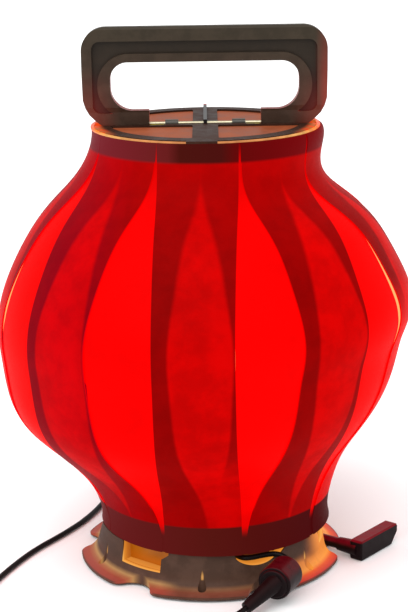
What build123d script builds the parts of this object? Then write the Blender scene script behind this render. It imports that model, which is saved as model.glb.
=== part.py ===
from build123d import *
import math
import os

os.makedirs("parts", exist_ok=True)

# ---------------------------------------------------------------- driving dimensions, mm
# Azimuths are in degrees from the front of the lantern (-Y), positive towards +X.
SHADE_FOOT = 25.6        # height of the slats' lower ends
SHADE_HEAD = 277.9       # height of the slats' upper ends
TOP_FACE = 279.4         # height of the top frame's face
SLATS = 9                # slats in each of the two layers
SLAT_THICK = 0.6
SLAT_WIDTH = 47.2        # chord across one outer slat, the same all the way up
INNER_SLAT_WIDTH = 46.4
FIRST_SLAT = -4.0        # azimuth of the first outer slat
LAYER_TURN = 21.3        # the inner layer is turned by about half a pitch
LAYER_GAP = 0.25         # clearance between the layers and between slats and collars

COLLAR_LOBES = 6
LOBE_RADIUS = 84.3
NOTCH_AZIMUTH = -36.0    # first notch of the flange
NOTCH_ROOT = 73.5
NOTCH_RADIUS = 12.5
LOBE_CORNER = 6.5
WALL_FOOT = 1.5          # underside of the collar: the feet lift it off the floor
CAVITY_RADIUS = 70.2     # inside of the wall around the floor plate
WALL_TOP = 25.0
SLEEVE_RADIUS = 68.7     # ring on top of the collar that stands inside the slats
SLEEVE_WALL = 2.2
SLEEVE_TOP = 45.0
CABLE_AZIMUTH = 24.0     # window that the lantern's own cord comes out of
WINDOW_AZIMUTHS = [-38.3, CABLE_AZIMUTH, 84.0, 144.0, 204.0, 264.0]
CREASE_AZIMUTHS = [-4.6, 54.0, 114.0, 174.0, 234.0, 294.0]
WINDOW_WIDTH = 31.0
WINDOW_SILL = 11.6
WINDOW_HEAD = 25.3
CABLE_SILL = 16.4        # lowest point of the cable window's curved sill
NICK = 4.6               # slanted nick at each window's upper right corner
REVEAL = 1.8             # wall of the frame around a window
REVEAL_INNER = 62.2

GLAND_AZIMUTH = 14.0     # the lantern's own cord comes through the glow ring here
GLAND_Z = 21.2
GLAND_RADIUS = 2.6
GLAND_END = 62.0
OUTLET_AZIMUTH = 87.9
OUTLET_Z = 6.6
OUTLET_AIM = (-0.79, 0.61, 0.0)
OUTLET_RADIUS = 3.7
NECK = 7.0               # diameter of the rubber neck that carries the outlet connector

TOP_RADIUS = 68.0
TOP_THICK = 3.0
RIB_WIDTH = 15.4
RIM_WIDTH = 10.0
PANEL_DEEP = 1.2         # the panels' faces lie this far below the frame's face
RIM_LENS_RADIUS = 70.0   # translucent ring around the frame, above the slats' ends
FRONT_TAB = 9.0          # half width of the front rib's end, which interrupts the ring
FRONT_TAB_X = -2.2
TROUGH_HALF = 6.2        # recess in the cross rib in which the handle's feet turn
TROUGH_DEEP = 3.3
TOP_COLLAR_HEIGHT = 15.0

ROD_Z = 279.5            # pivot rod of the handle
ROD_RADIUS = 1.0
ROD_PLAY = 0.05
LUG_X = 20.4
LUG_RADIUS = 2.3
LUG_WIDTH = 8.0
FOOT_RADIUS = 3.1
FOOT_X = 34.0            # inner ends of the handle's feet
HANDLE_TOP = 338.5
HANDLE_HALF = 74.5       # half the handle's width
HANDLE_DEPTH = 8.0
HANDLE_GROOVE = 3.0

POST_RADIUS = 11.0       # square-ish LED post inside the diffuser tube
DIFFUSER_RADIUS = 24.0
DIFFUSER_TOP = 214.0
PAN_TOP = 26.0

CORD = 3.4               # diameter of the cords
FLOOR_LINE = CORD / 2 + 0.05

# height, radius, shift of the ring's centre along X: the slats' outer face, ring by ring
SHADE_RINGS = [
    (SHADE_FOOT, 73.5, 3.0),
    (36.0, 73.3, 2.3),
    (50.0, 77.1, 1.0),
    (66.0, 85.4, -2.2),
    (86.0, 101.7, -7.5),
    (110.0, 117.5, -8.0),
    (150.0, 126.8, -4.7),
    (186.0, 123.8, -0.6),
    (214.0, 108.8, -0.9),
    (236.0, 88.7, -3.1),
    (250.0, 75.7, -3.6),
    (262.0, 71.6, -0.9),
    (TOP_FACE, 70.1, 0.2),
]


# ---------------------------------------------------------------- helpers
def save(shape, node):
    """Write one node to its own file."""
    export_step(shape, f"parts/{node}.step")


def at_azimuth(azimuth, radius=0.0, height=0.0):
    """A place whose local +X points outwards at the azimuth, radius from the axis."""
    return Rot(Z=azimuth - 90) * Pos(radius, 0, height)


def polar(azimuth, radius, height):
    """A point at an azimuth and radius from the lantern's axis."""
    angle = math.radians(azimuth)
    return (radius * math.sin(angle), -radius * math.cos(angle), height)


def turned(shape, azimuth):
    """Turn a shape that was made along +X so that it points at the azimuth."""
    return Rot(Z=azimuth - 90) * shape


def ring(outer, inner, low, high):
    """A plain ring about the Z axis."""
    height = high - low
    tube = Cylinder(outer, height) - Cylinder(inner, height + 2)
    return Pos(0, 0, (low + high) / 2) * tube


def disc(radius, low, high):
    return Pos(0, 0, (low + high) / 2) * Cylinder(radius, high - low)


def block(x0, x1, y0, y1, z0, z1):
    """A box between two corners."""
    size = Box(x1 - x0, y1 - y0, z1 - z0)
    return Pos((x0 + x1) / 2, (y0 + y1) / 2, (z0 + z1) / 2) * size


def grouped(shapes):
    """Separate solids that share one node."""
    solids = []
    for shape in shapes:
        solids += shape.solids()
    return Compound(children=solids)


def aimed(point, direction):
    """A place at the point whose local +Z runs along the direction."""
    return Plane(origin=point, z_dir=direction).location


def corner_radii(points):
    """For each inner point, 0.45 of its shorter run over the tangent of half its turn."""
    radii = []
    for before, here, after in zip(points, points[1:], points[2:]):
        run_in = Vector(*here) - Vector(*before)
        run_out = Vector(*after) - Vector(*here)
        half_turn = math.radians(run_in.get_angle(run_out)) / 2
        shorter = min(run_in.length, run_out.length)
        radii.append(0.45 * shorter / math.tan(half_turn))
    return radii


def cord(points, name):
    """A tube along straight runs joined by tangent arcs."""
    radii = corner_radii(points)
    path = FilletPolyline(*points, radius=radii)
    start = Plane(origin=path @ 0, z_dir=path % 0)
    tube = sweep(start * Circle(CORD / 2), path=path)
    ideal = math.pi * CORD**2 / 4 * path.length
    print(name, "length", round(path.length, 1), "volume / ideal", round(tube.volume / ideal, 4))
    print("  radii", [round(radius, 1) for radius in radii])
    return tube


# ---------------------------------------------------------------- slatted shade
def shade_body(inset):
    """The shade's full body, inset from the slats' outer face."""
    rings = []
    for height, radius, shift in SHADE_RINGS:
        rings.append(Pos(shift, 0, height) * Circle(radius - inset))
    return loft(rings)


def slat_layer(inset, width, first_azimuth):
    """One layer of slats of constant width, bent along the shade's curve."""
    skin = shade_body(inset) - shade_body(inset + SLAT_THICK)
    strip = block(0, 200, -width / 2, width / 2, SHADE_FOOT - 1, SHADE_HEAD)
    slats = []
    for index in range(SLATS):
        slats.append(skin & turned(strip, first_azimuth + index * 360 / SLATS))
    return slats


# ---------------------------------------------------------------- base
def lobed_outline():
    """The scalloped outline of the foot flange."""
    outline = Circle(LOBE_RADIUS)
    for index in range(COLLAR_LOBES):
        place = at_azimuth(NOTCH_AZIMUTH + index * 60, NOTCH_ROOT + NOTCH_RADIUS)
        outline -= place * Circle(NOTCH_RADIUS)
    return fillet(outline.vertices(), LOBE_CORNER)


def window_space(azimuth, grow, inner, outer):
    """The space of one window, or with grow its frame. The cable window's sill is curved."""
    half = WINDOW_WIDTH / 2 + grow
    head = WINDOW_HEAD + grow
    if azimuth == CABLE_AZIMUTH:
        opening = Pos(0, head) * Ellipse(half, head - CABLE_SILL + grow)
        opening &= Pos(0, head - 20) * Rectangle(2 * half, 40)
    else:
        sill = WINDOW_SILL - grow
        opening = Pos(0, (sill + head) / 2) * Rectangle(2 * half, head - sill)
    tip = half + NICK
    nick = Polyline((0, head), (tip, head), (tip, 23.4), (half - 1, 19.4 - grow), (0, 21 - grow), close=True)
    opening += make_face(nick)
    return turned(extrude(Plane.YZ.offset(inner) * opening, outer - inner), azimuth)


def base_collar():
    """Flared wall with its foot flange, creases and windows that are open at the top."""
    upper = Polyline(
        (SLEEVE_RADIUS - SLEEVE_WALL, WALL_TOP),
        (70.8, WALL_TOP),
        (71.2, 20.0),
        (72.8, 10.6),
    )
    sweep_out = ThreePointArc((72.8, 10.6), (75.2, 5.9), (80.0, 3.9))
    lower = Polyline(
        (80.0, 3.9),
        (LOBE_RADIUS, 2.9),
        (LOBE_RADIUS, WALL_FOOT),
        (CAVITY_RADIUS, WALL_FOOT),
        (CAVITY_RADIUS, 9.0),
        (SLEEVE_RADIUS - SLEEVE_WALL, 19.0),
        (SLEEVE_RADIUS - SLEEVE_WALL, WALL_TOP),
    )
    face = Plane.XZ * make_face([upper, sweep_out, lower])
    collar = revolve(face, axis=Axis.Z)
    collar &= extrude(lobed_outline(), 2 * WALL_TOP)
    bore = disc(SLEEVE_RADIUS - 0.6, 0, WALL_TOP)
    for azimuth in WINDOW_AZIMUTHS:
        collar += window_space(azimuth, REVEAL, REVEAL_INNER, 80) & bore
    for azimuth in WINDOW_AZIMUTHS:
        collar -= window_space(azimuth, 0, REVEAL_INNER - 5, 90)
    for azimuth in CREASE_AZIMUTHS:
        groove = Pos(73.6, 0, 13.5) * Rot(Y=-11) * Cone(3.0, 0.5, 23)
        collar -= turned(groove, azimuth)
    wall_point = polar(OUTLET_AZIMUTH, 72.0, OUTLET_Z)
    collar -= aimed(wall_point, OUTLET_AIM) * Pos(0, 0, -4) * Cylinder(OUTLET_RADIUS, 22)
    return collar


def slat_sleeve():
    """Ring on top of the collar that the slats' lower ends are fixed around."""
    return ring(SLEEVE_RADIUS, SLEEVE_RADIUS - SLEEVE_WALL, WALL_TOP + 0.05, SLEEVE_TOP)


def base_plate():
    """Round floor plate of the base, with the holes for its screws."""
    plate = disc(CAVITY_RADIUS - 0.3, WALL_FOOT, WALL_FOOT + 2.2)
    for index in range(3):
        plate -= at_azimuth(index * 120, 50, WALL_FOOT) * Cylinder(1.6, 10)
    return plate


def base_screws():
    """Three pan-head screws that hold the lamp pan to the floor plate."""
    screws = []
    for index in range(3):
        shank = Pos(0, 0, 4.0) * Cylinder(1.5, 5.0)
        head = Pos(0, 0, WALL_FOOT - 0.5) * Cylinder(2.9, 1.0)
        screws.append(at_azimuth(index * 120, 50) * (shank + head))
    return grouped(screws)


def rubber_feet():
    """Six round pads near the floor plate's edge and a larger one at its centre."""
    pads = [Pos(0, 0, WALL_FOOT / 2) * Cylinder(9.0, WALL_FOOT)]
    for index in range(6):
        pads.append(at_azimuth(30 + index * 60, 64, WALL_FOOT / 2) * Cylinder(5.0, WALL_FOOT))
    return grouped(pads)


def lamp_pan():
    """Shallow drum on the floor plate that carries the light unit."""
    low = WALL_FOOT + 2.2
    pan = disc(57.6, low, PAN_TOP) - disc(55.6, low + 3, PAN_TOP - 2)
    for index in range(3):
        pan -= at_azimuth(index * 120, 50, low) * Cylinder(1.5, 6.0)
    return pan


def glow_ring():
    """Amber light-spreading ring behind the windows, with the hole of the cable gland."""
    tube = ring(61.6, 58.0, WALL_FOOT + 2.4, PAN_TOP)
    hole = Rot(Y=90) * Cylinder(GLAND_RADIUS, 12)
    return tube - turned(Pos(60, 0, GLAND_Z) * hole, GLAND_AZIMUTH)


def gland(azimuth, height, inner, outer, radius):
    """Rubber sleeve around a cord where it passes a wall."""
    length = outer - inner
    sleeve = Cylinder(radius, length) - Cylinder(CORD / 2, length + 2)
    return turned(Pos((inner + outer) / 2, 0, height) * Rot(Y=90) * sleeve, azimuth)


# ---------------------------------------------------------------- light unit
def led_post():
    """Hollow square aluminium post."""
    height = DIFFUSER_TOP - 10 - PAN_TOP
    post = Box(2 * POST_RADIUS, 2 * POST_RADIUS, height) - Box(17, 17, height + 2)
    return Pos(0, 0, PAN_TOP + height / 2) * post


def led_boards():
    """One narrow board on each side of the post."""
    boards = []
    for index in range(4):
        board = block(POST_RADIUS, POST_RADIUS + 1.6, -8, 8, PAN_TOP + 6, DIFFUSER_TOP - 16)
        boards.append(turned(board, index * 90))
    return grouped(boards)


def led_chips():
    """Square light chips in a row down each board."""
    chips = []
    low = PAN_TOP + 14
    step = 19.0
    for side in range(4):
        for row in range(9):
            z = low + row * step
            chip = block(POST_RADIUS + 1.6, POST_RADIUS + 2.6, -2.5, 2.5, z, z + 5)
            chips.append(turned(chip, side * 90))
    return grouped(chips)


def diffuser_tube():
    """Frosted tube with a domed cap around the boards."""
    shoulder = DIFFUSER_TOP - DIFFUSER_RADIUS

    def solid(radius):
        column = disc(radius, PAN_TOP + 0.1, shoulder)
        return column + Pos(0, 0, shoulder) * Sphere(radius)

    return solid(DIFFUSER_RADIUS) - solid(DIFFUSER_RADIUS - 1.6)


def driver_board():
    """Driver circuit board with its parts, lying in the lamp pan."""
    z = WALL_FOOT + 6.0
    board = block(-30, 30, -18, 18, z, z + 1.6)
    coil = Pos(-14, 0, z + 6.6) * Cylinder(7, 10)
    capacitor = Pos(10, 8, z + 7.1) * Cylinder(4, 11)
    terminal = block(18, 28, -12, 0, z + 1.6, z + 9)
    return board + coil + capacitor + terminal


# ---------------------------------------------------------------- top
def panel_outline(inset):
    """The four quarter windows between the ribs, as one sketch."""
    light = Circle(TOP_RADIUS - RIM_WIDTH - inset)
    light -= Rectangle(2 * TOP_RADIUS, RIB_WIDTH + 2 * inset)
    light -= Rectangle(RIB_WIDTH + 2 * inset, 2 * TOP_RADIUS)
    return fillet(light.vertices(), 1.5)


def end_pocket(side, grow, low, high):
    """Space between a lug and a foot of the handle, where light comes up from the shade."""
    x0, x1 = sorted((side * (LUG_X + 4.6 - grow), side * (FOOT_X - 0.7 + grow)))
    return block(x0, x1, -4.6 - grow, 4.6 + grow, low, high)


def top_frame():
    """Round frame with crossed ribs, four windows, the slot and the trough."""
    low = TOP_FACE - TOP_THICK
    frame = disc(TOP_RADIUS, low, TOP_FACE)
    tab_left = FRONT_TAB_X - FRONT_TAB
    tab_right = FRONT_TAB_X + FRONT_TAB
    frame += block(tab_left, tab_right, -RIM_LENS_RADIUS, -60, SHADE_HEAD + 0.1, TOP_FACE)
    frame -= Pos(0, 0, low - 1) * extrude(panel_outline(0), TOP_THICK + 2)
    frame += Pos(0, 0, low - 1.2) * Box(2 * (TOP_RADIUS - 4), RIB_WIDTH, 2.4)
    for side in (-1, 1):
        x0, x1 = sorted((side * 30.0, side * (TOP_RADIUS + 1)))
        frame -= block(x0, x1, -TROUGH_HALF, TROUGH_HALF, TOP_FACE - TROUGH_DEEP, TOP_FACE + 1)
        frame -= end_pocket(side, 0.05, low - 0.9, TOP_FACE + 1)
        x = side * LUG_X
        half = LUG_WIDTH / 2 + 0.1
        frame -= block(x - half, x + half, -LUG_RADIUS, LUG_RADIUS, low + 1, TOP_FACE + 1)
    frame -= block(-29.0, 29.0, -1.3, 1.3, low - 5, TOP_FACE + 1)
    frame -= Pos(0, 0, ROD_Z) * Rot(Y=90) * Cylinder(ROD_RADIUS + 0.4, 2 * 62)
    return frame


def top_sheet():
    """Four thin translucent panels between the ribs."""
    low = TOP_FACE - PANEL_DEEP - 1.2
    return grouped((Pos(0, 0, low) * extrude(panel_outline(0.05), 1.2)).solids())


def slot_lenses():
    """Two small translucent blocks in the pockets next to the handle's feet."""
    low = TOP_FACE - TOP_THICK - 0.85
    return grouped([end_pocket(-1, 0, low, low + 1.4), end_pocket(1, 0, low, low + 1.4)])


def rim_lens():
    """Translucent ring around the frame, above the slats' ends, open at the front tab."""
    lens = ring(RIM_LENS_RADIUS, TOP_RADIUS + 0.05, SHADE_HEAD + 0.1, TOP_FACE - 0.5)
    tab_left = FRONT_TAB_X - FRONT_TAB - 0.05
    tab_right = FRONT_TAB_X + FRONT_TAB + 0.05
    return lens - block(tab_left, tab_right, -80, -50, SHADE_HEAD, TOP_FACE)


def top_collar():
    """Band under the frame that the slats' upper ends are fixed to."""
    low = TOP_FACE - TOP_COLLAR_HEIGHT
    return ring(TOP_RADIUS, TOP_RADIUS - 1.8, low, TOP_FACE - TOP_THICK - 0.05)


def pivot_lugs():
    """Two half-round lugs in which the pivot rod turns."""
    low = TOP_FACE - TOP_THICK + 1
    lugs = []
    for side in (-1, 1):
        dome = Pos(side * LUG_X, 0, ROD_Z) * Rot(Y=90) * Cylinder(LUG_RADIUS, LUG_WIDTH)
        half = LUG_WIDTH / 2
        x = side * LUG_X
        leg = block(x - half, x + half, -LUG_RADIUS + 0.02, LUG_RADIUS - 0.02, low, ROD_Z)
        bore = Pos(x, 0, ROD_Z) * Rot(Y=90) * Cylinder(ROD_RADIUS + ROD_PLAY, 2 * LUG_WIDTH)
        lugs.append(dome + leg - bore)
    return grouped(lugs)


def pivot_rod():
    return Pos(0, 0, ROD_Z) * Rot(Y=90) * Cylinder(ROD_RADIUS, 2 * 44)


def handle_outline():
    """Front outline of the handle: rounded frame with two inward feet."""
    side = HANDLE_HALF
    right = [
        (FOOT_X, ROD_Z - FOOT_RADIUS),
        (59.0, ROD_Z - FOOT_RADIUS),
        (62.5, 278.6),
        (66.5, 281.6),
        (70.5, 285.6),
        (72.6, 289.6),
        (74.1, 294.5),
        (side, 312.0),
        (side, HANDLE_TOP),
    ]
    left = [(-x, z) for x, z in reversed(right)]
    outline = make_face(Polyline(*right, *left, close=True))
    outline = fillet(outline.vertices().group_by(Axis.Y)[-1], 15)
    opening = Pos(0, 302.6) * Rectangle(114.4, 29.2)
    opening = fillet(opening.vertices().group_by(Axis.Y)[-1], 10.5)
    opening = fillet(opening.vertices().group_by(Axis.Y)[0], 13.5)
    between = Pos(0, 279.0) * Rectangle(2 * FOOT_X, 20)
    return outline - opening - between


def handle_section():
    """Side outline of the handle: thin, with rounded top edges and round feet."""
    half = HANDLE_DEPTH / 2
    near = [
        (-FOOT_RADIUS, ROD_Z),
        (-FOOT_RADIUS, 287.0),
        (-half, 290.0),
        (-half, HANDLE_TOP - 1.6),
        (-half + 1.4, HANDLE_TOP + 0.1),
    ]
    far = [(-y, z) for y, z in reversed(near)]
    return make_face(Polyline(*near, *far, close=True)) + Pos(0, ROD_Z) * Circle(FOOT_RADIUS)


def handle_frame():
    """Rounded carrying frame with a groove down each face and two inward feet."""
    frame = extrude(Plane.XZ * handle_outline(), HANDLE_DEPTH, both=True)
    frame &= extrude(Plane.YZ * handle_section(), HANDLE_HALF + 5, both=True)
    plan = RectangleRounded(2 * HANDLE_HALF + 0.02, HANDLE_DEPTH + 0.02, 1.4)
    frame &= Pos(0, 0, 270) * extrude(plan, 80)
    rim = Pos(0, 308.0) * RectangleRounded(136.2, 43.6, 5.0)
    rim -= Pos(0, 302.8) * RectangleRounded(130.0, 39.0, 19.0)
    groove = extrude(Plane.XZ * rim, HANDLE_GROOVE)
    frame -= Pos(0, -HANDLE_DEPTH / 2 + HANDLE_GROOVE, 0) * groove
    frame -= Pos(0, HANDLE_DEPTH / 2, 0) * groove
    frame -= Pos(0, 0, ROD_Z) * Rot(Y=90) * Cylinder(ROD_RADIUS, 2 * 44)
    return frame


def rear_tie():
    """Black tie along the rear rib, hooked over the pivot rod and over the rim."""
    low = TOP_FACE + 0.05
    tie = block(-1.1, 1.1, 1.6, 71.0, low, low + 1.6)
    tie += block(-1.1, 1.1, -2.4, 3.0, low + 1.2, low + 2.4)
    tie += block(-1.1, 1.1, -2.4, -1.3, low, low + 2.0)
    return tie


# ---------------------------------------------------------------- inline coupling
COUPLING_BACK = (46.1, -72.4, 15.1)
COUPLING_AIM = (-0.436, -0.9, 0.0)
COUPLING_LENGTH = 22.0
COUPLING_RADIUS = 10.5
HALF_RADIUS = 8.8
BOOT_AIM = (-0.72, -0.58, -0.38)
BOOT_LENGTH = 23.0
BOOT_START = 5.6
BOOT_END = 3.6


def along(start, aim, distance):
    """The point at a distance from start along the direction."""
    unit = Vector(*aim).normalized()
    point = Vector(*start) + unit * distance
    return (point.X, point.Y, point.Z)


COUPLING_FACE = along(COUPLING_BACK, COUPLING_AIM, COUPLING_LENGTH)
BOOT_TIP = along(COUPLING_FACE, BOOT_AIM, BOOT_LENGTH)


def socket_half():
    """Rear half of the coupling, on the lantern's own cord."""
    half = Pos(0, 0, 5.45) * Cylinder(HALF_RADIUS, 10.9)
    return aimed(COUPLING_BACK, COUPLING_AIM) * half


def plug_half():
    """Front half of the coupling, on the supply lead, with a rounded nose."""
    half = Pos(0, 0, 16.5) * Cylinder(HALF_RADIUS, 11.0)
    nose = fillet(half.edges().group_by(Axis.Z)[-1], 1.2)
    return aimed(COUPLING_BACK, COUPLING_AIM) * nose


def coupling_ring():
    """Locking ring that turns around both halves."""
    ring_body = Pos(0, 0, 10.6) * (Cylinder(COUPLING_RADIUS, 20.0) - Cylinder(HALF_RADIUS + 0.08, 24))
    outside = ring_body.edges().filter_by(GeomType.CIRCLE)
    wide = [edge for edge in outside if edge.radius > COUPLING_RADIUS - 0.1]
    return aimed(COUPLING_BACK, COUPLING_AIM) * fillet(wide, 1.3)


def lead_boot():
    """Tapered rubber boot that leaves the plug at a slant."""
    start = along(COUPLING_FACE, BOOT_AIM, -3.0)
    cone = Pos(0, 0, (BOOT_LENGTH + 3) / 2) * Cone(BOOT_START, BOOT_END, BOOT_LENGTH + 3)
    boot = aimed(start, BOOT_AIM) * cone
    return boot - socket_keep_out()


def socket_keep_out():
    """Everything behind the plug's face, cut from the boot."""
    space = Pos(0, 0, COUPLING_LENGTH / 2 - 10) * Cylinder(30, COUPLING_LENGTH + 20)
    return aimed(COUPLING_BACK, COUPLING_AIM) * space


# ---------------------------------------------------------------- outlet connector
CONNECTOR_NEAR = (92.0, -23.1, OUTLET_Z)
CONNECTOR_AIM = (0.635, 0.773, 0.0)
CONNECTOR_LENGTH = 42.0
CONNECTOR_WIDTH = 9.5
CONNECTOR_HEIGHT = 13.2
OUTLET_BOOT_LENGTH = 15.0


def outlet_connector():
    """Flat moulded connector with rounded edges and a slanted far end, lying on the floor."""
    half = CONNECTOR_HEIGHT / 2
    length = CONNECTOR_LENGTH
    outline = make_face(
        Polyline(
            (-half, 0),
            (half, 0),
            (half, length),
            (half - 5.5, length),
            (-half, length - 7.0),
            close=True,
        )
    )
    outline = fillet(outline.vertices(), 1.8)
    body = extrude(Plane.XZ * outline, CONNECTOR_WIDTH / 2, both=True)
    sides = body.faces().filter_by(Plane.XZ)
    body = chamfer(sides.edges(), 0.9)
    place = Plane(origin=CONNECTOR_NEAR, x_dir=(0, 0, 1), z_dir=CONNECTOR_AIM).location
    return place * body


OUTLET_JOINT = along(CONNECTOR_NEAR, CONNECTOR_AIM, 4.0)
OUTLET_BOOT_TIP = along(OUTLET_JOINT, OUTLET_AIM, OUTLET_BOOT_LENGTH)


def outlet_boot():
    """Tapered rubber boot at the side of the connector."""
    half = OUTLET_BOOT_LENGTH / 2
    cone = Pos(0, 0, half) * Cone(5.3, 4.3, OUTLET_BOOT_LENGTH)
    return aimed(OUTLET_JOINT, OUTLET_AIM) * cone - outlet_connector()


def outlet_neck():
    """Straight rubber neck between the boot and the wall."""
    length = 13.4
    return aimed(OUTLET_BOOT_TIP, OUTLET_AIM) * Pos(0, 0, length / 2) * Cylinder(NECK / 2, length)


# ---------------------------------------------------------------- cords
GLAND_TIP = polar(GLAND_AZIMUTH, GLAND_END, GLAND_Z)
PIGTAIL = [
    GLAND_TIP,
    (18.0, -65.6, 21.1),
    (24.0, -65.8, 21.2),
    (31.5, -63.0, 21.7),
    (38.3, -61.2, 21.9),
    (43.4, -62.4, 21.2),
    (47.6, -64.4, 18.6),
    along(COUPLING_BACK, COUPLING_AIM, -5.0),
    COUPLING_BACK,
]

COIL_CENTRE = (-46.0, 113.0, 0.0)
COIL_MEAN = 20.0
COIL_HALF_WIDTH = 5.4
COIL_HEIGHT = 10.6

LEAD = [
    BOOT_TIP,
    along(BOOT_TIP, BOOT_AIM, 9.0),
    (-2.0, -117.0, FLOOR_LINE),
    (-17.0, -118.5, FLOOR_LINE),
    (-36.0, -117.0, FLOOR_LINE),
    (-66.0, -113.0, FLOOR_LINE),
    (-96.0, -114.0, FLOOR_LINE),
    (-123.0, -107.0, FLOOR_LINE),
    (-138.5, -88.0, FLOOR_LINE),
    (-138.0, -62.0, FLOOR_LINE),
    (-129.5, -36.0, FLOOR_LINE),
    (-116.0, -4.5, FLOOR_LINE),
    (-97.5, 24.0, FLOOR_LINE),
    (-84.0, 50.0, FLOOR_LINE),
    (-74.5, 78.0, FLOOR_LINE),
    (-66.5, 106.0, FLOOR_LINE),
]

TAIL = [
    (-35.0, 96.0, FLOOR_LINE),
    (-22.0, 89.5, FLOOR_LINE),
    (-6.0, 91.0, FLOOR_LINE),
    (6.0, 97.0, FLOOR_LINE),
]


def lead_coil():
    """Outer shape of the wound part of the supply lead."""
    outer = COIL_MEAN + COIL_HALF_WIDTH
    inner = COIL_MEAN - COIL_HALF_WIDTH
    return Pos(COIL_CENTRE[0], COIL_CENTRE[1], 0) * ring(outer, inner, 0.05, COIL_HEIGHT)


def lead_plug():
    """Small round supply plug at the end of the lead."""
    aim = (0.894, 0.447, 0.0)
    body = Pos(0, 0, 12) * Cylinder(4.6, 24)
    body += Pos(0, 0, 29) * Cylinder(2.75, 10)
    place = aimed((6.0, 97.0, 4.65), aim)
    return place * body


# ---------------------------------------------------------------- write every node
INNER_INSET = SLAT_THICK + LAYER_GAP
for index, slat in enumerate(slat_layer(0, SLAT_WIDTH, FIRST_SLAT)):
    save(slat, f"outer_slat_{index + 1}")
for index, slat in enumerate(slat_layer(INNER_INSET, INNER_SLAT_WIDTH, FIRST_SLAT + LAYER_TURN)):
    save(slat, f"inner_slat_{index + 1}")

save(base_collar(), "base_collar")
save(slat_sleeve(), "slat_sleeve")
save(base_plate(), "base_plate")
save(base_screws(), "base_screws")
save(rubber_feet(), "rubber_feet")
save(lamp_pan(), "lamp_pan")
save(glow_ring(), "glow_ring")
save(gland(GLAND_AZIMUTH, GLAND_Z, 57.9, GLAND_END, GLAND_RADIUS), "cable_gland")
save(led_post(), "led_post")
save(led_boards(), "led_boards")
save(led_chips(), "led_chips")
save(diffuser_tube(), "diffuser_tube")
save(driver_board(), "driver_board")
save(top_frame(), "top_frame")
save(top_sheet(), "top_sheet")
save(slot_lenses(), "slot_lenses")
save(rim_lens(), "rim_lens")
save(top_collar(), "top_collar")
save(pivot_lugs(), "pivot_lugs")
save(pivot_rod(), "pivot_rod")
save(handle_frame(), "handle_frame")
save(rear_tie(), "rear_tie")
save(cord(PIGTAIL, "pigtail"), "pigtail_cord")
save(socket_half(), "socket_half")
save(plug_half(), "plug_half")
save(coupling_ring(), "coupling_ring")
save(lead_boot(), "lead_boot")
save(cord(LEAD, "lead"), "lead_cord")
save(lead_coil(), "lead_coil")
save(cord(TAIL, "tail"), "lead_tail")
save(lead_plug(), "lead_plug")
save(outlet_neck(), "outlet_neck")
save(outlet_boot(), "outlet_boot")
save(outlet_connector(), "outlet_connector")
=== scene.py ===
import math

import bmesh
import bpy
from mathutils import Matrix, Vector


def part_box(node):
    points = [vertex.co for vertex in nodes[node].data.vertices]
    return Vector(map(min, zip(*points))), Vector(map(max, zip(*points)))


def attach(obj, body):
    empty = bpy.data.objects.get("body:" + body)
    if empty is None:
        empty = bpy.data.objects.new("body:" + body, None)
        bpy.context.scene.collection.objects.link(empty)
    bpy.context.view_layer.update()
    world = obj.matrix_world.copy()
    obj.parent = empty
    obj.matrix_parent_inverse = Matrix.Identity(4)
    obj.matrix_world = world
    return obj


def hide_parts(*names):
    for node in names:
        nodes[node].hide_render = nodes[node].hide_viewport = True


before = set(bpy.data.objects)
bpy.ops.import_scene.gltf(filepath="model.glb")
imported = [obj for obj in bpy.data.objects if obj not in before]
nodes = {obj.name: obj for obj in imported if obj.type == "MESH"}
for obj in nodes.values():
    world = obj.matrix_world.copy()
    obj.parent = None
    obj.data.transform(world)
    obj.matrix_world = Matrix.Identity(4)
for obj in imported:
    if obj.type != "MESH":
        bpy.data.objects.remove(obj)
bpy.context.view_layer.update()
scene = bpy.context.scene

# ---------------------------------------------------------------- sizes, metres and degrees
SLATS = 9
FIRST_SLAT = -4.0            # azimuth of the first outer slat, from -Y towards +X
LAYER_TURN = 21.3
PITCH = 360.0 / SLATS
HALF_SLAT = 0.0236
SLEEVE_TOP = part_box("slat_sleeve")[1][2]
CORD = 0.0034
FLOOR_LINE = CORD / 2 + 0.00005
HEAD_LINE = 0.2655           # above this height the slats lie over the top collar and look dark
HEAD_SOFT = 0.0023
BLACK = (0.0, 0.0, 0.0)


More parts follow.
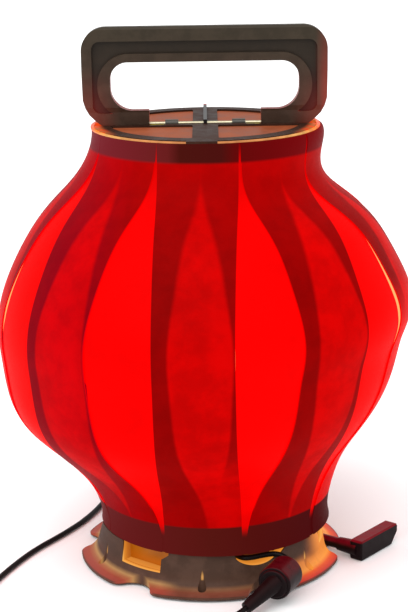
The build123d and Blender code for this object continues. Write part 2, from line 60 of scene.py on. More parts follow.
# ---------------------------------------------------------------- node helpers
class Mat:
    """A material with small helpers for building its node tree."""

    def __init__(self, name):
        self.mat = bpy.data.materials.new(name)
        self.mat.use_nodes = True
        self.tree = self.mat.node_tree
        self.tree.nodes.clear()
        self.out = self.tree.nodes.new("ShaderNodeOutputMaterial")
        coords = self.tree.nodes.new("ShaderNodeTexCoord")
        self.place = coords.outputs["Object"]
        self.x, self.y, self.z = self.add("ShaderNodeSeparateXYZ", [self.place]).outputs
        faces = self.add("ShaderNodeSeparateXYZ", [coords.outputs["Normal"]])
        self.face_x, self.face_y, self.face_z = faces.outputs

    def put(self, socket, value):
        if value is None:
            return
        if isinstance(value, bpy.types.NodeSocket):
            self.tree.links.new(value, socket)
        elif isinstance(value, (tuple, list)) and socket.type == "RGBA" and len(value) == 3:
            socket.default_value = (*value, 1.0)
        else:
            socket.default_value = value

    def add(self, kind, inputs=(), **settings):
        node = self.tree.nodes.new(kind)
        for key, value in settings.items():
            setattr(node, key, value)
        named = inputs.items() if isinstance(inputs, dict) else enumerate(inputs)
        for key, value in named:
            self.put(node.inputs[key], value)
        return node

    def math(self, operation, a, b=None):
        return self.add("ShaderNodeMath", [a, b], operation=operation).outputs[0]

    def times(self, *factors):
        product = factors[0]
        for factor in factors[1:]:
            product = self.math("MULTIPLY", product, factor)
        return product

    def along(self, direction):
        """Distance of the place along a direction."""
        node = self.add("ShaderNodeVectorMath", [self.place, direction], operation="DOT_PRODUCT")
        return node.outputs["Value"]

    def radius(self):
        """Distance from the lantern's axis."""
        flat = self.add("ShaderNodeCombineXYZ", [self.x, self.y, 0.0]).outputs[0]
        return self.add("ShaderNodeVectorMath", [flat], operation="LENGTH").outputs["Value"]

    def step(self, value, low, high, a=0.0, b=1.0):
        """Smooth change from a to b while value goes from low to high."""
        node = self.add("ShaderNodeMapRange", interpolation_type="SMOOTHSTEP")
        names = ("Value", "From Min", "From Max", "To Min", "To Max")
        for key, item in zip(names, (value, low, high, a, b)):
            self.put(node.inputs[key], item)
        return node.outputs["Result"]

    def inside(self, value, low, high, soft):
        """1 where the value lies between low and high, with soft edges."""
        above = self.step(value, low - soft, low + soft)
        below = self.step(value, high + soft, high - soft)
        return self.times(above, below)

    def colours(self, value, low, high, stops):
        """A colour that follows (value, colour) stops."""
        scaled = self.add("ShaderNodeMapRange")
        for key, item in zip(("Value", "From Min", "From Max"), (value, low, high)):
            self.put(scaled.inputs[key], item)
        node = self.add("ShaderNodeValToRGB", [scaled.outputs["Result"]])
        band = node.color_ramp
        while len(band.elements) < len(stops):
            band.elements.new(0.5)
        for element, (position, colour) in zip(band.elements, stops):
            element.position = (position - low) / (high - low)
            element.color = (*colour, 1.0)
        return node.outputs["Color"]

    def levels(self, value, low, high, stops):
        """A number that follows (value, level) stops."""
        return self.colours(value, low, high, [(at, (level,) * 3) for at, level in stops])

    def noise(self, scale, detail=3.0, rough=0.5, stretch=None):
        vector = self.place
        if stretch:
            vector = self.add("ShaderNodeMapping", {"Vector": vector, "Scale": stretch}).outputs[0]
        values = {"Vector": vector, "Scale": scale, "Detail": detail, "Roughness": rough}
        return self.add("ShaderNodeTexNoise", values).outputs["Fac"]

    def mix(self, amount, a, b, blend="MIX"):
        node = self.add("ShaderNodeMix", data_type="RGBA", blend_type=blend)
        self.put(node.inputs[0], amount)
        self.put(node.inputs[6], a)
        self.put(node.inputs[7], b)
        return node.outputs[2]

    def bump(self, height, strength, distance):
        values = {"Height": height, "Strength": strength, "Distance": distance}
        return self.add("ShaderNodeBump", values).outputs[0]

    def principled(self, **values):
        shader = self.add("ShaderNodeBsdfPrincipled")
        for key, value in values.items():
            self.put(shader.inputs[key.replace("_", " ")], value)
        self.tree.links.new(shader.outputs[0], self.out.inputs[0])
        return self.mat


def tangent(azimuth):
    """Unit vector across the lantern's radius at an azimuth."""
    angle = math.radians(azimuth)
    return (math.cos(angle), math.sin(angle), 0.0)


def use(mat, *names):
    for name in names:
        data = nodes[name].data
        data.materials.clear()
        data.materials.append(mat)


# ---------------------------------------------------------------- slats
def painted_band_shade(m):
    """Painted shade of the bands where the slats lie over the sleeve and the top collar; it varies around
    the lantern, with a darker painted shadow at the front of the head band and a faint painted purple
    reflection at its left.
    """
    foot = m.colours(
        m.x, -0.075, 0.075,
        [
            (-0.07, (0.135, 0.010, 0.011)),
            (0.0, (0.085, 0.007, 0.005)),
            (0.07, (0.06, 0.002, 0.003)),
        ],
    )
    head = m.colours(
        m.x, -0.08, 0.08,
        [
            (-0.072, (0.21, 0.016, 0.026)),
            (-0.022, (0.135, 0.012, 0.012)),
            (-0.015, (0.062, 0.006, 0.004)),
            (0.009, (0.062, 0.005, 0.004)),
            (0.017, (0.115, 0.002, 0.002)),
            (0.07, (0.20, 0.001, 0.003)),
        ],
    )
    behind = m.step(m.y, -0.01, 0.03)
    head = m.mix(behind, head, (0.14, 0.006, 0.006))
    return m.mix(m.step(m.z, 0.1, 0.2), foot, head)


def slat_finish(m, level, painted_reflection_blue, covered_foot, covered_head):
    """Lit translucent plastic: level is how much red light comes through, the blue part adds a painted
    purple reflection, and the covered parts take the painted shade of the bands.
    """
    lit = m.add("ShaderNodeCombineXYZ", [level, 0.0, painted_reflection_blue]).outputs[0]
    dark = m.math("MAXIMUM", covered_foot, covered_head)
    glow = m.mix(dark, lit, painted_band_shade(m))
    grain = m.noise(900.0, 2.0)
    return m.principled(
        Base_Color=m.mix(m.noise(90.0), (0.004, 0.0002, 0.0002), (0.008, 0.0003, 0.0003)),
        Roughness=m.step(grain, 0.3, 0.7, 0.40, 0.52),
        Specular_IOR_Level=0.008,
        Normal=m.bump(grain, 0.08, 0.0002),
        Emission_Color=glow,
        Emission_Strength=1.0,
    )


def outer_slat_look(index):
    azimuth = FIRST_SLAT + index * PITCH
    m = Mat(f"outer_slat_look_{index + 1}")
    cloud = m.noise(62.0, 5.0, 0.62)
    streak = m.noise(46.0, 3.0, 0.5, stretch=(1.0, 1.0, 0.25))
    to_left = m.math("ABSOLUTE", m.along(tangent(azimuth + LAYER_TURN - PITCH)))
    to_right = m.math("ABSOLUTE", m.along(tangent(azimuth + LAYER_TURN)))
    left_reach = m.levels(
        m.z, 0.04, 0.26,
        [(0.06, 0.0274), (0.20, 0.0274), (0.23, 0.0262), (0.25, 0.0254)],
    )
    right_reach = m.levels(
        m.z, 0.04, 0.26,
        [(0.06, 0.0234), (0.12, 0.0243), (0.19, 0.0250), (0.25, 0.0250)],
    )
    soft = m.step(m.z, 0.17, 0.23, 0.0012, 0.0020)
    against = m.math("MULTIPLY", soft, -1.0)
    left = m.step(m.math("SUBTRACT", to_left, left_reach), soft, against)
    right = m.step(m.math("SUBTRACT", to_right, right_reach), soft, against)
    if index == 0:
        right = m.times(right, m.step(m.z, 0.075, 0.115))
    if index == 2:
        left = m.times(left, m.step(m.z, 0.165, 0.195))
    if index == 7:
        right = m.times(right, m.step(m.z, 0.165, 0.195))
    lens = m.math("ADD", m.step(cloud, 0.32, 0.68, 0.56, 0.72), m.step(streak, 0.35, 0.65, -0.03, 0.03))
    lens_heights = [(0.045, 0.80), (0.09, 1.0), (0.2, 1.02), (0.235, 1.1), (0.265, 0.85)]
    lens = m.times(lens, m.levels(m.z, 0.04, 0.27, lens_heights))
    margin_heights = [(0.045, 0.33), (0.1, 0.30), (0.2, 0.29), (0.235, 0.36), (0.268, 0.48)]
    margin = m.levels(m.z, 0.04, 0.27, margin_heights)
    margin = m.times(margin, m.step(cloud, 0.3, 0.7, 0.9, 1.1))
    cover = m.math("MAXIMUM", left, m.times(right, 0.96))
    level = m.math("ADD", m.times(lens, m.math("SUBTRACT", 1.0, cover)), m.times(margin, cover))
    own = m.math("ABSOLUTE", m.along(tangent(azimuth)))
    # Painted light along the slat's side faces above the foot band.
    edge = m.times(m.step(own, 0.02335, 0.0235), m.step(m.z, 0.05, 0.06))
    level = m.math("MAXIMUM", level, m.times(edge, 0.72))
    # Painted brighter light low on the two slats at the sides.
    if index in (2, 7):
        level = m.times(level, m.step(m.z, 0.165, 0.195, 1.45, 1.0))
    # Painted purple reflection on the left side of the lantern, stronger where the slats are covered.
    painted_reflection_blue = m.times(m.step(m.x, -0.03, -0.09, 0.0, 0.005), m.step(cover, 0.0, 1.0, 0.55, 1.2))
    foot = m.step(m.z, SLEEVE_TOP + 0.0006, SLEEVE_TOP - 0.0009)
    head = m.step(m.z, HEAD_LINE, HEAD_LINE + HEAD_SOFT)
    return slat_finish(m, level, painted_reflection_blue, foot, head)


def light_leak(m, neighbour, side, low, high, width):
    """Bright unfiltered light at the crack beside a neighbouring outer slat's edge."""
    beyond = m.math("SUBTRACT", m.times(m.along(tangent(neighbour)), side), HALF_SLAT + 0.0002)
    middle = (low + high) / 2
    shape = [(low, 0.0), (low + 0.3 * (high - low), width), (middle, width), (high, 0.0)]
    within = m.step(m.math("SUBTRACT", beyond, m.levels(m.z, low, high, shape)), 0.0002, -0.0002)
    return m.times(within, m.step(beyond, -0.0001, 0.0001), m.inside(m.z, low, high, 0.002))


LEAKS = {
    # inner slat: azimuth of the outer slat beside it, which side of that slat, low, high, width
    1: (FIRST_SLAT + 2 * PITCH, -1.0, 0.152, 0.216, 0.0034),
    7: (FIRST_SLAT + 7 * PITCH, 1.0, 0.154, 0.202, 0.0030),
}


def inner_slat_look(index):
    m = Mat(f"inner_slat_look_{index + 1}")
    cloud = m.noise(62.0, 5.0, 0.62)
    heights = [(0.034, 0.7), (0.06, 0.95), (0.09, 1.0), (0.24, 1.0), (0.266, 0.72), (0.277, 0.5)]
    level = m.times(m.step(cloud, 0.3, 0.7, 0.97, 1.06), m.levels(m.z, 0.03, 0.28, heights))
    foot = m.step(m.z, 0.0455, 0.036)
    head = m.step(m.z, 0.266, 0.279, 0.0, 0.85)
    mat = slat_finish(m, level, 0.0, foot, head)
    if index in LEAKS:
        shader = m.out.inputs[0].links[0].from_node
        glow = shader.inputs["Emission Color"].links[0].from_socket
        leak = light_leak(m, *LEAKS[index])
        m.put(shader.inputs["Emission Color"], m.mix(leak, glow, (1.0, 0.50, 0.17)))
    return mat


for index in range(SLATS):
    use(outer_slat_look(index), f"outer_slat_{index + 1}")
    use(inner_slat_look(index), f"inner_slat_{index + 1}")


# ---------------------------------------------------------------- moulded frame parts
BROWN_LOW = (0.050, 0.026, 0.017)
BROWN_HIGH = (0.068, 0.036, 0.024)


def moulded(m, glow=BLACK, low=BROWN_LOW, high=BROWN_HIGH, rough=0.5, specular=0.10):
    """Grey-brown moulded plastic with a fine texture, plus the light that shines through it."""
    tone = m.noise(120.0, 4.0, 0.6)
    grain = m.noise(1500.0, 2.0)
    return m.principled(
        Base_Color=m.mix(m.step(tone, 0.35, 0.65), low, high),
        Roughness=m.step(tone, 0.3, 0.7, rough - 0.06, rough + 0.08),
        Specular_IOR_Level=specular,
        Normal=m.bump(grain, 0.18, 0.00025),
        Emission_Color=glow,
        Emission_Strength=1.0,
    )


def collar_look():
    """Collar: painted red and orange light from the shade on its flange and on the wall at the right,
    stopping short of the flange's lower edge, and painted light from inside on its window reveals,
    brightest on the sills.
    """
    m = Mat("collar_look")
    radius = m.radius()
    mottle = m.step(m.noise(55.0, 4.0, 0.6), 0.3, 0.7, 0.86, 1.14)
    on_right = m.step(m.x, 0.034, 0.066)
    right = m.colours(
        radius, 0.070, 0.085,
        [
            (0.0712, (0.10, 0.020, 0.012)),
            (0.0732, (0.80, 0.24, 0.035)),
            (0.0765, (0.92, 0.30, 0.035)),
            (0.0795, (0.78, 0.075, 0.012)),
            (0.0835, (0.56, 0.018, 0.014)),
            (0.0842, (0.10, 0.008, 0.006)),
        ],
    )
    left = m.colours(
        radius, 0.070, 0.085,
        [
            (0.0735, (0.02, 0.006, 0.004)),
            (0.0752, (0.42, 0.21, 0.065)),
            (0.0768, (0.36, 0.10, 0.030)),
            (0.0795, (0.33, 0.036, 0.018)),
            (0.0832, (0.30, 0.026, 0.018)),
            (0.0842, (0.05, 0.008, 0.006)),
        ],
    )
    front = m.colours(
        radius, 0.070, 0.085,
        [
            (0.0745, (0.010, 0.004, 0.002)),
            (0.0762, (0.14, 0.055, 0.020)),
            (0.0790, (0.16, 0.030, 0.013)),
            (0.0832, (0.12, 0.018, 0.010)),
            (0.0842, (0.02, 0.004, 0.003)),
        ],
    )
    to_front = m.times(m.step(m.x, -0.034, -0.018), m.step(m.y, 0.0, -0.03))
    flange = m.mix(on_right, m.mix(to_front, left, front), right)
    low = m.times(m.step(m.z, 0.0155, 0.0085), mottle)
    painted_light_above_lip = m.step(m.z, 0.0014, 0.0026)
    flange = m.mix(m.times(low, painted_light_above_lip), BLACK, flange)
    side_wall = m.times(m.step(radius, 0.0705, 0.0712), m.step(m.x, 0.055, 0.066))
    side_colour = m.mix(m.step(m.y, -0.045, -0.02), (0.10, 0.022, 0.014), (0.85, 0.26, 0.035))
    flange = m.mix(m.times(side_wall, m.step(m.z, 0.006, 0.012)), flange, side_colour)
    wall = m.math("SUBTRACT", radius, m.step(m.z, 0.010, 0.025, 0.0728, 0.0705))
    inward = m.times(m.step(wall, -0.0003, -0.0010), m.step(m.z, 0.0092, 0.0100))
    reveal = m.colours(
        radius, 0.060, 0.074,
        [
            (0.0622, (0.30, 0.070, 0.004)),
            (0.067, (0.50, 0.135, 0.008)),
            (0.0700, (0.68, 0.23, 0.020)),
            (0.0715, (0.94, 0.46, 0.10)),
        ],
    )
    sills = m.step(m.face_z, 0.2, 0.6)
    reveal = m.mix(m.times(sills, 0.45), reveal, (0.90, 0.34, 0.04))
    return moulded(m, m.mix(inward, flange, reveal))


def glow_ring_look():
    """Ring behind the windows with painted amber light from the lamp inside, brighter low down, and a
    painted shadow behind the cable window.
    """
    m = Mat("glow_ring_look")
    cloud = m.step(m.noise(80.0, 4.0, 0.6), 0.3, 0.7)
    lit = m.mix(cloud, (0.24, 0.062, 0.002), (0.34, 0.092, 0.003))
    lit = m.mix(m.step(m.z, 0.019, 0.012), lit, (0.40, 0.085, 0.002))
    shadow = m.times(m.inside(m.x, 0.005, 0.052, 0.003), m.step(m.y, -0.02, -0.03))
    lit = m.mix(m.times(shadow, 0.94), lit, (0.03, 0.007, 0.002))
    return m.principled(Base_Color=(0.10, 0.03, 0.004), Roughness=m.step(cloud, 0.0, 1.0, 0.3, 0.4),
                        Specular_IOR_Level=0.2, Emission_Color=lit, Emission_Strength=1.0)


def handle_look():
    """Handle: painted shade in the groove, darkest at its lower ends; painted red light on the hand
    opening's edges and low on the legs, most on the right leg; and a painted red tint low on the body that
    fades upwards.
    """
    m = Mat("handle_look")
    in_groove = m.step(m.math("ABSOLUTE", m.y), 0.0019, 0.0012)
    in_groove = m.times(in_groove, m.step(m.z, 0.282, 0.284))
    across = m.math("ABSOLUTE", m.face_y)
    within = m.step(m.math("ABSOLUTE", m.x), 0.0585, 0.0575)
    opening = m.times(m.step(across, 0.6, 0.3), within, m.step(m.z, 0.3185, 0.3178))
    leg = m.times(m.step(m.z, 0.316, 0.284), m.step(m.math("ABSOLUTE", m.x), 0.050, 0.070))
    right_leg = m.times(m.step(m.x, 0.066, 0.074), m.step(m.z, 0.338, 0.29, 0.35, 1.0))
    legs = m.math("MAXIMUM", m.times(leg, 0.32), m.times(right_leg, 0.7))
    red = m.math("MAXIMUM", m.times(opening, 0.55), legs)
    painted_shade_low_ends = m.times(in_groove, m.step(m.z, 0.318, 0.300, 0.0, 0.75))
    glow = m.mix(red, BLACK, (0.30, 0.010, 0.006))
    # Painted red light on the body fades out upwards.
    red_light_fading_up = m.step(m.z, 0.30, 0.336)
    body_low = m.mix(red_light_fading_up, (0.034, 0.018, 0.011), (0.026, 0.019, 0.011))
    body_high = m.mix(red_light_fading_up, (0.046, 0.025, 0.016), (0.036, 0.026, 0.016))
    # Painted shade colour for the groove.
    painted_groove_shade = (0.012, 0.008, 0.005)
    shade = m.math("ADD", m.times(in_groove, 0.62), m.times(painted_shade_low_ends, 0.5))
    low = m.mix(shade, body_low, painted_groove_shade)
    high = m.mix(shade, body_high, painted_groove_shade)
    return moulded(m, glow, low, high, rough=0.42, specular=0.14)


def top_frame_look():
    """Top frame: brown ribs, painted light on the rim beside the handle's feet, and an olive tone with a
    faint painted olive light on the rear rib.
    """
    m = Mat("top_frame_look")
    radius = m.radius()
    sides = m.times(m.step(m.math("ABSOLUTE", m.x), 0.050, 0.064), m.step(radius, 0.0615, 0.0665))
    patches = m.step(m.noise(150.0, 2.0), 0.40, 0.62)
    hot = m.mix(patches, (0.55, 0.13, 0.03), (0.95, 0.07, 0.006))
    glow = m.mix(m.times(sides, 0.9), BLACK, hot)
    rear_rib = m.times(m.inside(m.y, 0.0045, 0.0085, 0.0006), m.step(radius, 0.062, 0.058))
    glow = m.mix(m.times(rear_rib, 0.5), glow, (0.030, 0.030, 0.008))
    low = m.mix(m.times(rear_rib, 0.7), (0.026, 0.010, 0.006), (0.018, 0.016, 0.006))
    high = m.mix(m.times(rear_rib, 0.7), (0.038, 0.015, 0.009), (0.026, 0.022, 0.009))
    return moulded(m, glow, low, high, specular=0.05)


def rim_lens_look():
    """Glowing line around the top: amber at the front, hotter at the sides, red at the back."""
    m = Mat("rim_lens_look")
    front = m.colours(
        m.math("ABSOLUTE", m.x), 0.0, 0.07,
        [
            (0.008, (0.50, 0.19, 0.06)),
            (0.040, (0.62, 0.26, 0.075)),
            (0.058, (0.72, 0.38, 0.10)),
            (0.066, (0.95, 0.22, 0.02)),
            (0.069, (1.0, 0.06, 0.004)),
        ],
    )
    back = m.mix(m.inside(m.x, -0.044, -0.024, 0.004), (0.70, 0.075, 0.022), (1.0, 0.10, 0.03))
    lit = m.mix(m.step(m.y, -0.002, 0.012), front, back)
    cloud = m.step(m.noise(140.0, 3.0), 0.3, 0.7, 0.75, 1.15)
    grey = m.add("ShaderNodeCombineXYZ", [cloud, cloud, cloud]).outputs[0]
    return m.principled(Base_Color=(0.10, 0.03, 0.006), Roughness=0.4, Specular_IOR_Level=0.2,
                        Emission_Color=m.mix(1.0, lit, grey, "MULTIPLY"), Emission_Strength=1.0)


def sheet_look():
    """Thin brown-orange panels, lit softly from below."""
    m = Mat("sheet_look")
    cloud = m.step(m.noise(48.0, 4.0, 0.6), 0.3, 0.7)
    lit = m.mix(cloud, (0.17, 0.034, 0.010), (0.27, 0.055, 0.017))
    edge = m.step(m.radius(), 0.050, 0.058, 1.0, 0.75)
    lit = m.mix(edge, (0.12, 0.02, 0.006), lit)
    return m.principled(Base_Color=m.mix(cloud, (0.070, 0.022, 0.010), (0.09, 0.029, 0.013)),
                        Roughness=m.step(cloud, 0.0, 1.0, 0.45, 0.55), Specular_IOR_Level=0.04,
                        Emission_Color=lit, Emission_Strength=1.0)


def slot_look():
    """Small lenses beside the handle's feet, glowing with painted olive-yellow light from inside."""
    m = Mat("slot_lens_look")
    cloud = m.step(m.noise(300.0, 3.0), 0.3, 0.7)
    return m.principled(Base_Color=(0.2, 0.17, 0.05), Roughness=0.4, Specular_IOR_Level=0.2,
                        Emission_Color=m.mix(cloud, (0.30, 0.25, 0.06), (0.50, 0.42, 0.12)),
                        Emission_Strength=1.0)


# ---------------------------------------------------------------- black parts, metal and inside
def black(name, red_top=0.0, base=(0.0030, 0.0018, 0.0018), rough=0.42, grain=1800.0, height=0.2):
    """Black plastic or rubber with the shade's red light on the faces that look up."""
    m = Mat(name)
    tone = m.noise(200.0, 3.0)
    fine = m.noise(grain, 2.0)
    upward = m.times(m.step(m.face_z, 0.15, 0.75), m.step(tone, 0.25, 0.75, 0.7, 1.2))
    return m.principled(
        Base_Color=m.mix(m.step(tone, 0.3, 0.7), base, tuple(1.6 * level for level in base)),
        Roughness=m.step(tone, 0.3, 0.7, rough - 0.06, rough + 0.08),
        Specular_IOR_Level=0.07,
        Normal=m.bump(fine, height, 0.0002),
        Emission_Color=m.mix(upward, (0.002, 0.0, 0.0005), (red_top, 0.0, 0.03 * red_top)),
        Emission_Strength=1.0,
    )


def metal(name, colour, rough, across=(1.0, 1.0, 1.0)):
    """Drawn or plated metal with fine lines."""
    m = Mat(name)
    lines = m.noise(900.0, 2.0, stretch=across)
    darker = tuple(0.75 * level for level in colour)
    return m.principled(Base_Color=m.mix(lines, colour, darker), Metallic=1.0,
                        Roughness=m.step(lines, 0.3, 0.7, rough - 0.05, rough + 0.1),
                        Normal=m.bump(lines, 0.1, 0.0001))


def coated(name, low, high, rough, glow=None, strength=0.0):
    """Painted or moulded inner piece with a cloudy tone."""
    m = Mat(name)
    tone = m.step(m.noise(150.0, 3.0), 0.3, 0.7)
    values = dict(Base_Color=m.mix(tone, low, high),
                  Roughness=m.step(tone, 0.0, 1.0, rough - 0.05, rough + 0.05),
                  Normal=m.bump(m.noise(1200.0), 0.1, 0.0002))
    if glow:
        values["Emission_Color"] = glow
        values["Emission_Strength"] = strength
    return m.principled(**values)


def tie_look():
    """Black nylon tie with red light on its far end."""
    m = Mat("rear_tie_look")
    tip = m.step(m.y, 0.0655, 0.069)
    return m.principled(Base_Color=m.mix(m.noise(400.0), (0.004, 0.003, 0.003), (0.008, 0.006, 0.006)),
                        Roughness=0.4, Specular_IOR_Level=0.2,
                        Emission_Color=m.mix(tip, BLACK, (0.35, 0.006, 0.006)), Emission_Strength=1.0)


use(collar_look(), "base_collar")
use(glow_ring_look(), "glow_ring")
use(handle_look(), "handle_frame")
use(top_frame_look(), "top_frame")
use(rim_lens_look(), "rim_lens")
use(sheet_look(), "top_sheet")
use(slot_look(), "slot_lenses")
use(moulded(Mat("inner_frame_look")), "base_plate", "lamp_pan", "top_collar", "slat_sleeve")
use(tie_look(), "rear_tie")
use(black("connector_look", 0.20), "outlet_connector")
use(black("neck_look", 0.13), "outlet_neck", "outlet_boot")
use(black("coupling_look", 0.085, rough=0.32), "coupling_ring")
use(black("half_look", 0.03), "socket_half", "plug_half")
use(black("boot_look", 0.010, rough=0.5), "lead_boot", "cable_gland", "rubber_feet")
use(coated("lug_look", (0.020, 0.017, 0.010), (0.035, 0.030, 0.018), 0.4), "pivot_lugs")
use(metal("rod_look", (0.55, 0.50, 0.34), 0.35, across=(0.05, 1.0, 1.0)), "pivot_rod")
use(metal("screw_look", (0.55, 0.55, 0.56), 0.3), "base_screws")
use(metal("post_look", (0.7, 0.7, 0.72), 0.35, across=(1.0, 1.0, 0.05)), "led_post")
use(coated("board_look", (0.62, 0.62, 0.58), (0.7, 0.7, 0.66), 0.45), "led_boards", "driver_board")
LIT = coated("led_look", (0.9, 0.75, 0.4), (1.0, 0.85, 0.5), 0.3, (1.0, 0.75, 0.4), 2.0)
use(LIT, "led_chips")
FROSTED = coated("frosted_look", (0.75, 0.7, 0.62), (0.8, 0.76, 0.68), 0.6, (1.0, 0.30, 0.10), 0.3)
use(FROSTED, "diffuser_tube")


# ---------------------------------------------------------------- cords
def polar(azimuth, radius, height):
    angle = math.radians(azimuth)
    return Vector((radius * math.sin(angle), -radius * math.cos(angle), height))


def beyond(start, aim, distance):
    return Vector(start) + Vector(aim).normalized() * distance


def spline_cord(name, points, look):
    """A round cord along one smooth NURBS line with these control points."""
    curve = bpy.data.curves.new(name, "CURVE")
    curve.dimensions = "3D"
    curve.bevel_depth = CORD / 2
    curve.bevel_resolution = 5
    curve.use_fill_caps = True
    curve.resolution_u = 8
    line = curve.splines.new("NURBS")
    line.points.add(len(points) - 1)
    for point, place in zip(line.points, points):
        point.co = (*place, 1.0)
    line.order_u = 3
    line.use_endpoint_u = True
    piece = bpy.data.objects.new(name, curve)
    scene.collection.objects.link(piece)
    curve.materials.append(look)
    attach(piece, "base")
    return piece


COUPLING_BACK = (0.0461, -0.0724, 0.0151)
COUPLING_AIM = (-0.436, -0.9, 0.0)
COUPLING_LENGTH = 0.022
BOOT_AIM = (-0.72, -0.58, -0.38)
GLAND_TIP = polar(14.0, 0.062, 0.0212)
BOOT_TIP = beyond(beyond(COUPLING_BACK, COUPLING_AIM, COUPLING_LENGTH), BOOT_AIM, 0.023)

PIGTAIL = [
    GLAND_TIP,
    (0.0180, -0.0656, 0.0211),
    (0.0240, -0.0658, 0.0212),
    (0.0315, -0.0630, 0.0217),
    (0.0383, -0.0612, 0.0219),
    (0.0434, -0.0624, 0.0212),
    (0.0476, -0.0644, 0.0186),
    beyond(COUPLING_BACK, COUPLING_AIM, -0.005),
    COUPLING_BACK,
]

LEAD = [
    BOOT_TIP,
    beyond(BOOT_TIP, BOOT_AIM, 0.009),
    (-0.0020, -0.1170, FLOOR_LINE),
    (-0.0170, -0.1185, FLOOR_LINE),
    (-0.0360, -0.1170, FLOOR_LINE),
    (-0.0660, -0.1130, FLOOR_LINE),
    (-0.0960, -0.1140, FLOOR_LINE),
    (-0.1230, -0.1070, FLOOR_LINE),
    (-0.1385, -0.0880, FLOOR_LINE),
    (-0.1380, -0.0620, FLOOR_LINE),
    (-0.1295, -0.0360, FLOOR_LINE),
    (-0.1160, -0.0045, FLOOR_LINE),
    (-0.0975, 0.0240, FLOOR_LINE),
    (-0.0840, 0.0500, FLOOR_LINE),
    (-0.0750, 0.0780, FLOOR_LINE),
]

COIL_CENTRE = (-0.046, 0.113)
TURN_POINTS = 14
COIL_START = 199.0           # angle at which the lead joins the coil; the turns run clockwise
COIL_TURNS = 7.58
COIL_ROWS = [
    # centreline radius and height of each turn
    (0.0236, FLOOR_LINE),
    (0.0200, FLOOR_LINE),
    (0.0164, FLOOR_LINE),
    (0.0164, 0.0053),
    (0.0200, 0.0053),
    (0.0236, 0.0053),
    (0.0200, 0.0088),
    (0.0236, 0.0088),
]


def smooth(value):
    value = min(max(value, 0.0), 1.0)
    return value * value * (3 - 2 * value)


def coil_points():
    """Turns side by side in three layers; near each turn's end it climbs, then steps sideways."""
    points = []
    total = int(COIL_TURNS * TURN_POINTS)
    reach = 1 / math.cos(math.pi / TURN_POINTS)
    for step in range(total + 1):
        turn = step / TURN_POINTS
        row = min(int(turn), len(COIL_ROWS) - 1)
        radius, height = COIL_ROWS[row]
        next_radius, next_height = COIL_ROWS[min(row + 1, len(COIL_ROWS) - 1)]
        part = turn - row
        height += (next_height - height) * smooth((part - 0.66) / 0.17)
        radius += (next_radius - radius) * smooth((part - 0.83) / 0.17)
        angle = math.radians(COIL_START - 360 * turn)
        x = COIL_CENTRE[0] + radius * reach * math.cos(angle)
        y = COIL_CENTRE[1] + radius * reach * math.sin(angle)
        points.append((x, y, height))
    return points


TAIL = [
    (-0.0238, 0.0985, 0.0072),
    (-0.0225, 0.0915, 0.0036),
    (-0.0160, 0.0885, FLOOR_LINE),
    (-0.0060, 0.0910, FLOOR_LINE),
    (0.0010, 0.0945, 0.0036),
    (0.0060, 0.0970, 0.00465),
]


def sheath_look():
    m = Mat("cord_look")
    fine = m.noise(2400.0, 2.0)
    tone = m.noise(160.0, 3.0)
    base = m.mix(m.step(tone, 0.3, 0.7), (0.003, 0.0016, 0.0016), (0.006, 0.003, 0.003))
    return m.principled(Base_Color=base,
                        Roughness=m.step(tone, 0.3, 0.7, 0.38, 0.52), Specular_IOR_Level=0.10,
                        Normal=m.bump(fine, 0.15, 0.0001))


cord_look = sheath_look()
pigtail = spline_cord("pigtail", PIGTAIL, cord_look)
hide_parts("pigtail_cord")
lead = spline_cord("supply_lead", LEAD + coil_points() + TAIL, cord_look)
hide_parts("lead_cord", "lead_coil", "lead_tail")


# ---------------------------------------------------------------- pieces on the lead
def mesh_piece(name, shape, look):
    mesh = bpy.data.meshes.new(name)
    bmesh.ops.recalc_face_normals(shape, faces=shape.faces)
    shape.to_mesh(mesh)
    shape.free()
    piece = bpy.data.objects.new(name, mesh)
    scene.collection.objects.link(piece)
    mesh.materials.append(look)
    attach(piece, "base")
    return piece


def lathe(name, start, aim, profile, look, sides=48, smooth_angle=35):
    """A turned piece: profile is (distance along the axis, radius) from end to end."""
    axis = Vector(aim).normalized()
    across = axis.orthogonal().normalized()
    up = axis.cross(across)
    shape = bmesh.new()
    rings = []
    for distance, radius in profile:
        centre = Vector(start) + axis * distance
        loop = []
        for side in range(sides):
            angle = 2 * math.pi * side / sides
            outward = math.cos(angle) * across + math.sin(angle) * up
            loop.append(shape.verts.new(centre + radius * outward))
        rings.append(loop)
    for near, far in zip(rings, rings[1:]):
        for side in range(sides):
            after = (side + 1) % sides
            shape.faces.new((near[side], near[after], far[after], far[side]))
    shape.faces.new(rings[0])
    shape.faces.new(rings[-1])
    piece = mesh_piece(name, shape, look)
    for face in piece.data.polygons:
        face.use_smooth = True
    piece.data.set_sharp_from_angle(angle=math.radians(smooth_angle))
    return piece


PLUG_START = (0.0060, 0.0970, 0.00465)
PLUG_AIM = (0.894, 0.447, 0.0)


def plug_profile():
    """Body with a tapered start and six grip ribs."""
    profile = [(0.0, 0.0024), (0.0006, 0.0029), (0.0060, 0.0036), (0.0066, 0.0043)]
    for rib in range(6):
        low = 0.0076 + rib * 0.0020
        profile += [(low, 0.0046), (low + 0.0011, 0.0046), (low + 0.0013, 0.0042), (low + 0.0018, 0.0042)]
    return profile + [(0.0200, 0.0046), (0.0233, 0.0046), (0.0239, 0.0041), (0.0240, 0.0030)]


plug_look = black("plug_look")
plug_body = lathe("plug_body", PLUG_START, PLUG_AIM, plug_profile(), plug_look)
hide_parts("lead_plug")
BARREL = [(0.0240, 0.0027), (0.0248, 0.00275), (0.0262, 0.00275), (0.0263, 0.0026), (0.0268, 0.0026),
          (0.0269, 0.00275), (0.0333, 0.00275), (0.0340, 0.0022), (0.0340, 0.0012), (0.0320, 0.0010)]
barrel_look = metal("barrel_look", (0.72, 0.70, 0.66), 0.25)
plug_barrel = lathe("plug_barrel", PLUG_START, PLUG_AIM, BARREL, barrel_look)


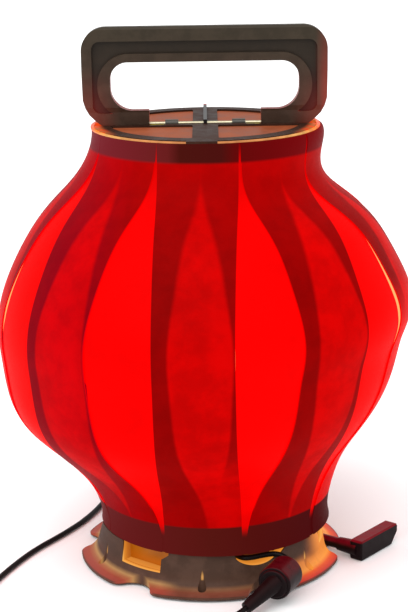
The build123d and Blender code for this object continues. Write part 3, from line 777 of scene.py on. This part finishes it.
def coil_tie(name, angle):
    """Flat strap around the coil's bundle at one angle."""
    width = 0.0052
    inner, outer = 0.0141, 0.0259
    low, high = 0.0002, 0.0112
    corner = 0.0022
    thick = 0.0007
    radial = Vector((math.cos(math.radians(angle)), math.sin(math.radians(angle)), 0.0))
    along_turns = Vector((-radial.y, radial.x, 0.0))
    outline = []
    centres = [(outer - corner, high - corner, 0), (inner + corner, high - corner, 90),
               (inner + corner, low + corner, 180), (outer - corner, low + corner, 270)]
    for centre_r, centre_z, first in centres:
        for part in range(6):
            turn = math.radians(first + 18 * part)
            outline.append((centre_r, centre_z, math.cos(turn), math.sin(turn)))
    shape = bmesh.new()
    loops = []
    for side, inset in ((-0.5, 0.0), (0.5, 0.0), (0.5, thick), (-0.5, thick)):
        loop = []
        for centre_r, centre_z, out_r, out_z in outline:
            reach = centre_r + (corner - inset) * out_r
            height = centre_z + (corner - inset) * out_z
            place = Vector((*COIL_CENTRE, 0.0)) + radial * reach + along_turns * side * width
            loop.append(shape.verts.new((place.x, place.y, height)))
        loops.append(loop)
    count = len(outline)
    for near, far in zip(loops, loops[1:] + loops[:1]):
        for index in range(count):
            after = (index + 1) % count
            shape.faces.new((near[index], near[after], far[after], far[index]))
    return mesh_piece(name, shape, tie_strap_look)


STRAP_BASE = (0.010, 0.010, 0.011)
tie_strap_look = black("tie_strap_look", base=STRAP_BASE, rough=0.6, grain=2600.0, height=0.5)
ties = [coil_tie("coil_tie_1", 55.0), coil_tie("coil_tie_2", 315.0)]

# ---------------------------------------------------------------- stage, light and camera
bpy.ops.mesh.primitive_plane_add(size=30.0, location=(0, 8, -0.0002))
floor = bpy.context.object
floor.name = "floor"
floor_mat = Mat("floor_look")
grain = floor_mat.noise(3.0, 4.0)
floor_mat.principled(Base_Color=floor_mat.mix(grain, (0.93, 0.93, 0.93), (0.96, 0.96, 0.96)), Roughness=0.8,
                     Specular_IOR_Level=0.1)
floor.data.materials.append(floor_mat.mat)

world = bpy.data.worlds.new("studio")
scene.world = world
world.use_nodes = True
world.node_tree.nodes["Background"].inputs["Color"].default_value = (1.0, 1.0, 1.0, 1.0)
world.node_tree.nodes["Background"].inputs["Strength"].default_value = 1.08

sun_data = bpy.data.lights.new("key", "SUN")
sun_data.energy = 2.0
sun_data.angle = math.radians(60)
sun = bpy.data.objects.new("key", sun_data)
sun.rotation_euler = (math.radians(35), math.radians(-20), 0)
scene.collection.objects.link(sun)

CAMERA_PLACE = (0.0, -1.020, 0.435)
LOOK_DOWN = 0.26
YAW = 0.0024
ROLL = -0.015
camera_data = bpy.data.cameras.new("camera")
camera_data.sensor_width = 36.0
camera_data.lens = 98.8
camera = bpy.data.objects.new("camera", camera_data)
scene.collection.objects.link(camera)
turn = Matrix.Rotation(YAW, 4, "Z") @ Matrix.Rotation(math.pi / 2 - LOOK_DOWN, 4, "X")
camera.matrix_world = Matrix.Translation(CAMERA_PLACE) @ turn @ Matrix.Rotation(ROLL, 4, "Z")
scene.camera = camera
scene.view_settings.view_transform = "Standard"
